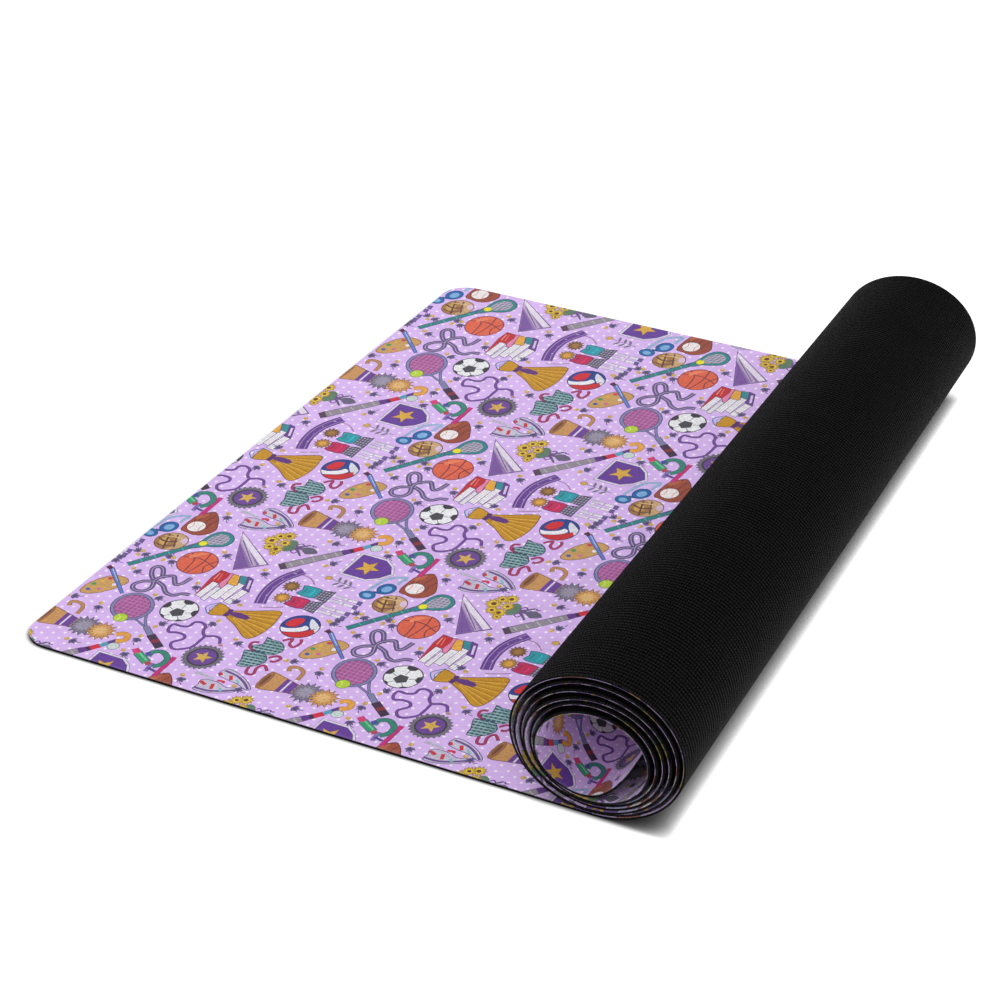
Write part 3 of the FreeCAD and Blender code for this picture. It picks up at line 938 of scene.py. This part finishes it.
# ------------------------------------------------------------------ materials
class Graph:
    """Short calls for building a node tree; any value may be a number or a socket."""

    def __init__(self, tree):
        self.tree = tree

    def put(self, socket, value):
        if isinstance(value, bpy.types.NodeSocket):
            self.tree.links.new(value, socket)
        else:
            socket.default_value = value

    def node(self, kind, inputs=(), **settings):
        n = self.tree.nodes.new(kind)
        for key, value in settings.items():
            setattr(n, key, value)
        for key, value in dict(inputs).items():
            self.put(n.inputs[key], value)
        return n

    def math(self, operation, a, b=0.0):
        return self.node("ShaderNodeMath", {0: a, 1: b, 2: 0.0}, operation=operation).outputs[0]

    def nearest(self, value, pitch):
        """The number of the nearest multiple of the pitch."""
        return self.math("FLOOR", self.math("ADD", self.math("DIVIDE", value, pitch), 0.5))

    def attribute(self, name):
        return self.node("ShaderNodeAttribute", attribute_name=name).outputs

    def split(self, vector):
        return self.node("ShaderNodeSeparateXYZ", {0: vector}).outputs

    def noise(self, vector, scale, detail=2.0, roughness=0.5, distortion=0.0):
        return self.node("ShaderNodeTexNoise", {
            "Vector": vector, "Scale": scale, "Detail": detail, "Roughness": roughness,
            "Distortion": distortion}).outputs[0]

    def smoothstep(self, value, span, to=(0.0, 1.0), kind="SMOOTHSTEP"):
        return self.node("ShaderNodeMapRange", {0: value, 1: span[0], 2: span[1], 3: to[0],
                                                4: to[1]}, interpolation_type=kind).outputs[0]

    def linear(self, value, span, to):
        return self.smoothstep(value, span, to, kind="LINEAR")

    def mix(self, factor, a, b, mode="MIX"):
        return self.node("ShaderNodeMix", data_type="RGBA", blend_type=mode,
                         inputs={0: factor, 6: a, 7: b}).outputs[2]

    def shade(self, colour, factor):
        grey = self.node("ShaderNodeCombineXYZ", {0: factor, 1: factor, 2: factor}).outputs[0]
        return self.mix(1.0, colour, grey, "MULTIPLY")

    def bump(self, height, distance, strength, normal=None):
        n = self.node("ShaderNodeBump", {"Height": height, "Distance": distance,
                                         "Strength": strength})
        if normal is not None:
            self.put(n.inputs["Normal"], normal)
        return n.outputs[0]


def new_material(name):
    """A material, its graph and a function that sets an input of its surface shader."""
    material = bpy.data.materials.new(name)
    material.use_nodes = True
    g = Graph(material.node_tree)
    surface = g.tree.nodes["Principled BSDF"]
    return material, g, lambda key, value: g.put(surface.inputs[key], value)


def suede_material():
    material, g, surface = new_material("printed_suede")
    ink_colour = g.attribute("print")
    flat = g.attribute("sy")["Vector"]
    sheet = g.split(g.attribute("cell")["Vector"])
    # staggered rows of small soft dots on the background only, in sheet units
    row_pitch, dot_pitch = 29.0, 116.0
    row = g.nearest(sheet[1], row_pitch)
    odd = g.math("FLOORED_MODULO", row, 2.0)
    x = g.math("SUBTRACT", sheet[0], g.math("MULTIPLY", odd, dot_pitch / 2))
    column = g.nearest(x, dot_pitch)
    dx = g.math("SUBTRACT", x, g.math("MULTIPLY", column, dot_pitch))
    dy = g.math("SUBTRACT", sheet[1], g.math("MULTIPLY", row, row_pitch))
    wobble = g.noise(flat, scale=0.9, detail=1.0)
    dx = g.math("ADD", dx, g.math("MULTIPLY", g.math("SUBTRACT", wobble, 0.5), 5.0))
    distance = g.math("SQRT", g.math("ADD", g.math("MULTIPLY", dx, dx),
                                     g.math("MULTIPLY", dy, dy)))
    dots = g.math("MULTIPLY", g.smoothstep(distance, (6.0, 11.0), to=(1.0, 0.0)),
                  ink_colour["Alpha"])
    dot_strength, dot_colour = 0.85, (0.93, 0.9, 0.95, 1)
    base = g.mix(g.math("MULTIPLY", dots, dot_strength), ink_colour["Color"], dot_colour)
    # uneven ink, then the pile's own fine speckle
    ink = g.linear(g.noise(flat, scale=0.045, detail=4.0, roughness=0.6), (0.3, 0.7),
                   to=(0.93, 1.05))
    wash = g.linear(g.noise(flat, scale=0.35, detail=3.0, roughness=0.6), (0.25, 0.75),
                    to=(0.93, 1.07))
    pile = g.noise(flat, scale=2.6, roughness=0.6)
    speckle = g.linear(pile, (0.25, 0.75), to=(0.94, 1.05))
    tone = g.math("MULTIPLY", g.math("MULTIPLY", ink, wash), speckle)
    # pencil grain on the drawn motifs only
    drawn = g.math("SUBTRACT", 1.0, ink_colour["Alpha"])
    pencil = g.linear(g.noise(flat, scale=0.8, detail=4.0, roughness=0.7, distortion=0.6),
                      (0.28, 0.7), to=(0.62, 1.14))
    tone = g.math("MULTIPLY", tone, g.math("ADD", 1.0, g.math(
        "MULTIPLY", drawn, g.math("SUBTRACT", pencil, 1.0))))
    base = g.shade(base, tone)
    # the dye sits a little lighter where the pile is brushed along the borders
    along, across, _ = g.split(flat)
    edge = g.smoothstep(g.math("ABSOLUTE", across), (HALF_W - 2.5, HALF_W - 0.1), to=(0.0, 0.05))
    surface("Base Color", g.mix(edge, base, (0.8, 0.74, 0.86, 1)))
    surface("Roughness", g.linear(pile, (0.2, 0.8), to=(0.82, 0.96)))
    surface("Specular IOR Level", 0.25)
    surface("Sheen Weight", 0.18)
    surface("Sheen Roughness", 0.45)
    weave_rate = 7.4                    # radians per mm
    weave = g.math("MULTIPLY", g.math("SINE", g.math("MULTIPLY", along, weave_rate)),
                   g.math("SINE", g.math("MULTIPLY", across, weave_rate)))
    normal = g.bump(weave, distance=0.00003, strength=0.5)
    normal = g.bump(pile, distance=0.00016, strength=0.6, normal=normal)
    normal = g.bump(g.noise(flat, scale=0.05), distance=0.0006, strength=0.5, normal=normal)
    surface("Normal", normal)
    return material


def rubber_material():
    material, g, surface = new_material("textured_rubber")
    flat = g.attribute("sy")["Vector"]
    along, across, _ = g.split(flat)
    rib_pitch, knit_pitch = 3.05, 1.7   # mm
    wobble = g.math("MULTIPLY", g.math("SUBTRACT", g.noise(flat, scale=0.12), 0.5), 1.2)
    rib, knit = [g.math("SINE", g.math("MULTIPLY", g.math("ADD", way, wobble),
                                       2 * math.pi / pitch))
                 for way, pitch in ((across, rib_pitch), (along, knit_pitch))]
    grain = g.noise(flat, scale=1.3, detail=3.0, roughness=0.7)
    rib = g.smoothstep(rib, (-1.0, 1.0), to=(0.12, 1.0))
    knit = g.smoothstep(knit, (-1.0, 1.0), to=(0.35, 1.0))
    rib_share, grain_share = 0.42, 0.58
    height = g.math("ADD", g.math("MULTIPLY", g.math("MULTIPLY", rib, knit), rib_share),
                    g.math("MULTIPLY", g.smoothstep(grain, (0.3, 0.7)), grain_share))
    # the pits between the ribs are darkened near black as painted shade, the raised threads are
    # lighter in their own colour, and the rubbed tops are a little greyer
    tone = g.linear(g.noise(flat, scale=0.03, detail=3.0, roughness=0.6), (0.3, 0.7),
                    to=(0.8, 1.25))
    fleck_and_pit_shade = g.linear(height, (0.15, 0.95), to=(0.1, 2.7))
    base = g.shade((0.0036, 0.0036, 0.0037, 1), g.math("MULTIPLY", tone, fleck_and_pit_shade))
    worn = g.math("MULTIPLY", g.smoothstep(height, (0.8, 1.2), to=(0.0, 0.03)),
                  g.smoothstep(g.noise(flat, scale=0.02), (0.4, 0.65)))
    base = g.mix(worn, base, (0.2, 0.2, 0.2, 1))
    edge = g.smoothstep(g.math("ABSOLUTE", across), (HALF_W - 1.6, HALF_W - 0.2),
                        to=(0.0, 0.012))
    surface("Base Color", g.mix(edge, base, (0.2, 0.2, 0.21, 1)))
    surface("Roughness", g.linear(grain, (0.2, 0.8), to=(0.5, 0.75)))
    surface("Specular IOR Level", g.smoothstep(height, (0.3, 1.0), to=(0.0, 0.16)))
    normal = g.bump(height, distance=0.0007, strength=1.0)
    surface("Normal", g.bump(g.noise(flat, scale=5.0), distance=0.00005, strength=0.6,
                             normal=normal))
    return material


SUEDE = suede_material()
RUBBER = rubber_material()

# ------------------------------------------------------------------ the pieces of the mat
FLAT_START = -(FLAT_LEN - END_PANEL) + CURL_STRIPS * CURL_PITCH
FLAT_END = -8.0
TURN_AT = [0.0] + [along_at_dir(TURN_DEG * i) for i in range(1, TURN_STRIPS + 1)]
TURN_MIDS = [along_at_dir(TURN_DEG * (i - 0.5)) for i in range(1, TURN_STRIPS + 1)]
COIL_START = TURN_AT[-1] + 10.0
INNER_AT = float(CURVE_LEN[N_WIND]) + INNER_HINGE
# inside the coil only its borders and its last stretch are printed
FULL_PRINT_START = ROLL_LEN - 235.0
PRINTED_BORDER = 20.0
# Mesh step along each kind of curved stretch
CURL_STEP, TURN_STEP, COIL_STEP, INNER_BEND_STEP, INNER_END_STEP = 2.0, 3.4, 3.2, 1.5, 2.6

OUTER_ART = placed(sheet_to_mat, -FLAT_LEN - 1, COIL_START + 1,
                   [(-FLAT_LEN - 1, COIL_START + 1, -HALF_W - 1, HALF_W + 1)])
INNER_ART = placed(sheet_to_coil, COIL_START - 1, ROLL_LEN + 1,
                   [(COIL_START, FULL_PRINT_START, -HALF_W, -HALF_W + PRINTED_BORDER),
                    (COIL_START, FULL_PRINT_START, HALF_W - PRINTED_BORDER, HALF_W),
                    (FULL_PRINT_START, ROLL_LEN + 1, -HALF_W, HALF_W)])


def pick(art, start, end):
    """The placed print cut to one stretch of the mat."""
    out = []
    for p, layer, repeat in art:
        if p[:, 0].max() <= start or p[:, 0].min() >= end:
            continue
        cut = clip_box(p, (start, end, -HALF_W, HALF_W))
        if cut is not None:
            out.append((cut, layer, repeat))
    return out


def make_layers(name, outline, sections=()):
    """The printed layer and the rubber under it for one stretch of the mat."""
    start, end = float(outline[:, 0].min()), float(outline[:, 0].max())
    inner = start >= COIL_START - 1e-6
    art = pick(INNER_ART if inner else OUTER_ART, start, end)
    return (suede_piece(name + "_suede", outline, sections, art,
                        coil_to_sheet if inner else mat_to_sheet),
            rubber_piece(name + "_rubber", outline, sections))


def ride(layers, body):
    for o in layers:
        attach(o, body)


def bend(layers, body_a, body_b, start, end, reach=0.0):
    """Bakes the layers' placement into their meshes; the stretch's ends, reached past by a share of
    it, are worked out but left unused. The two bodies are not used.
    """
    p, q = place(np.array([start, end]), 0.0, MAT_T / 2)
    p[1] = q[1] = 0.0   # the stretch's ends are taken square across the width, whatever the turns' stray
    p, q = p - reach * (q - p), q + reach * (q - p)
    for o in layers:
        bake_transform(o)


def replace(suede_name, rubber_name):
    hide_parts(suede_name)
    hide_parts(rubber_name)


def build_flat_part():
    """The flat part, the narrow strips before the free end, and the free end."""
    end = FLAT_START + CURL_PITCH / 2
    layers = make_layers("flat", strip(end, FLAT_END))
    ride(layers, "flat_sheet")
    replace("flat_suede_face", "flat_rubber_base")
    bodies = ["flat_sheet"] + ["curl_%02d" % (k + 1) for k in range(CURL_STRIPS)] + ["free_end"]
    for k in range(CURL_STRIPS + 1):
        start = end - CURL_PITCH
        layers = make_layers("curl_%02d" % k, strip(start, end),
                             section_lines(start, end, CURL_STEP))
        bend(layers, bodies[k + 1], bodies[k], start, end)
        if k < CURL_STRIPS:
            replace("curl_suede_%02d" % (k + 1), "curl_rubber_%02d" % (k + 1))
        end = start
    layers = make_layers("free_end", rounded(end, -FLAT_LEN))
    ride(layers, "free_end")
    replace("free_end_suede", "free_end_rubber")


def build_outer_turn():
    bodies = ["flat_sheet"] + ["turn_%02d" % (i + 1) for i in range(TURN_STRIPS)] + ["coil"]
    cuts = [FLAT_END] + TURN_MIDS + [COIL_START]
    # Inner stretches pass bend a reach that would put their own ends at 0.3264 and 0.6736
    # of the reached stretch, where smoothstep reaches a quarter and three quarters.
    quarter, three_quarters = 0.3264, 0.6736
    for i in range(TURN_STRIPS + 1):
        start, end = cuts[i], cuts[i + 1]
        layers = make_layers("turn_%02d" % i, strip(start, end),
                             section_lines(start, end, TURN_STEP))
        if i == 0:
            span = (TURN_AT[0], TURN_AT[1])
        elif i == TURN_STRIPS:
            span = (TURN_AT[i - 1], TURN_AT[i])
        else:
            span = (start, end, quarter / (three_quarters - quarter))
        bend(layers, bodies[i], bodies[i + 1], *span)
        if i:
            replace("turn_suede_%02d" % i, "turn_rubber_%02d" % i)


def build_coil():
    """The coil inside the outer turn, and its inner end."""
    start, end = INNER_AT - INNER_BEND_HALF, INNER_AT + INNER_BEND_HALF
    layers = make_layers("coil", strip(COIL_START, start),
                         section_lines(COIL_START, start, COIL_STEP))
    ride(layers, "coil")
    replace("coil_suede_face", "coil_rubber_base")
    layers = make_layers("inner_bend", strip(start, end),
                         section_lines(start, end, INNER_BEND_STEP))
    bend(layers, "coil", "inner_end", start, end)
    layers = make_layers("inner_end", rounded(end, ROLL_LEN),
                         section_lines(end, ROLL_LEN, INNER_END_STEP))
    ride(layers, "inner_end")
    replace("inner_end_suede", "inner_end_rubber")


build_flat_part()
build_outer_turn()
build_coil()


# ------------------------------------------------------------------ floor, light and camera
def floor_material():
    material, g, surface = new_material("studio_floor")
    surface("Base Color", (0.12, 0.12, 0.12, 1))
    surface("Roughness", 0.9)
    surface("Emission Color", (1, 1, 1, 1))
    surface("Specular IOR Level", 0.1)
    occlusion = g.node("ShaderNodeAmbientOcclusion", {"Distance": 0.017}, samples=6)
    # a contact shadow is painted into the floor's glow, which ambient occlusion dims beside the
    # roll; in front of its end face the floor stays bright
    position = g.node("ShaderNodeNewGeometry").outputs["Position"]
    near = -HALF_W / MM
    beside = g.smoothstep(g.split(position)[1], (near - 0.005, near + 0.001), to=(0.05, 1.0))
    shadow_power, glow = 4.5, 1.16
    painted_shadow = g.math("MULTIPLY", g.math("SUBTRACT", 1.0, g.math(
        "POWER", occlusion.outputs["AO"], shadow_power)), beside)
    surface("Emission Strength", g.math("MULTIPLY", g.math("SUBTRACT", 1.0, painted_shadow), glow))
    return material


def make_floor():
    half, z = 9, -0.0003
    mesh = bpy.data.meshes.new("studio_floor")
    mesh.from_pydata([(-half, -half, z), (half, -half, z), (half, half, z), (-half, half, z)],
                     [], [(0, 1, 2, 3)])
    floor = bpy.data.objects.new("studio_floor", mesh)
    mesh.materials.append(floor_material())
    bpy.context.scene.collection.objects.link(floor)


def make_world():
    """A studio brighter on the left (-x); seen directly, the backdrop is plain white."""
    white = (1.0, 1.0, 1.0, 1)
    world = bpy.data.worlds.new("studio")
    bpy.context.scene.world = world
    world.use_nodes = True
    g = Graph(world.node_tree)
    lit = g.tree.nodes["Background"]
    lit.inputs["Color"].default_value = white
    lit.inputs["Strength"].default_value = 0.56     # holds only if the side ramp is unlinked
    way = g.split(g.node("ShaderNodeTexCoord").outputs["Generated"])
    g.put(lit.inputs["Strength"], g.linear(way[0], (-1.0, 1.0), to=(0.80, 0.34)))
    seen = g.node("ShaderNodeBackground", {"Color": white, "Strength": 1.0})
    camera_ray = g.node("ShaderNodeLightPath").outputs["Is Camera Ray"]
    both = g.node("ShaderNodeMixShader", {0: camera_ray, 1: lit.outputs[0], 2: seen.outputs[0]})
    g.put(g.tree.nodes["World Output"].inputs[0], both.outputs[0])


def area_light(name, location, aim, size, power):
    light = bpy.data.lights.new(name, "AREA")
    light.shape = "DISK"
    light.size = size
    light.energy = power
    o = bpy.data.objects.new(name, light)
    o.location = location
    o.rotation_euler = (Vector(aim) - Vector(location)).to_track_quat("-Z", "Y").to_euler()
    bpy.context.scene.collection.objects.link(o)


def make_camera():
    azimuth, elevation, roll = [math.radians(a)
                                for a in (23.404399789, 28.820417040, 2.623545659)]
    # metres from the middle of the roll-off line: out along the view, then right and up
    distance, shift_right, shift_up = 1.4880608857, -0.17620537, 0.041827327
    sensor_width, focal_ratio = 36.0, 2.28673473    # lens length in sensor widths
    back = Vector((math.sin(azimuth) * math.cos(elevation),
                   -math.cos(azimuth) * math.cos(elevation), math.sin(elevation)))
    level_right = Vector((math.cos(azimuth), math.sin(azimuth), 0.0))
    level_up = back.cross(level_right)
    right = math.cos(roll) * level_right + math.sin(roll) * level_up
    up = -math.sin(roll) * level_right + math.cos(roll) * level_up
    data = bpy.data.cameras.new("camera")
    data.sensor_width = sensor_width
    data.lens = sensor_width * focal_ratio
    data.clip_start = 0.01
    camera = bpy.data.objects.new("camera", data)
    pose = Matrix((right, up, back)).transposed().to_4x4()
    pose.translation = (Vector((CENTRE_X / MM, 0.0, 0.0)) + back * distance
                        + right * shift_right + up * shift_up)
    camera.matrix_world = pose
    bpy.context.scene.collection.objects.link(camera)
    bpy.context.scene.camera = camera


make_floor()
make_world()
area_light("key", location=(-0.9, 0.5, 1.7), aim=(0.05, 0.0, 0.0), size=1.3, power=19.0)
area_light("front", location=(0.5, -1.6, 1.1), aim=(0.05, 0.0, 0.03), size=1.4, power=5.6)
make_camera()
bpy.context.scene.view_settings.view_transform = "Standard"
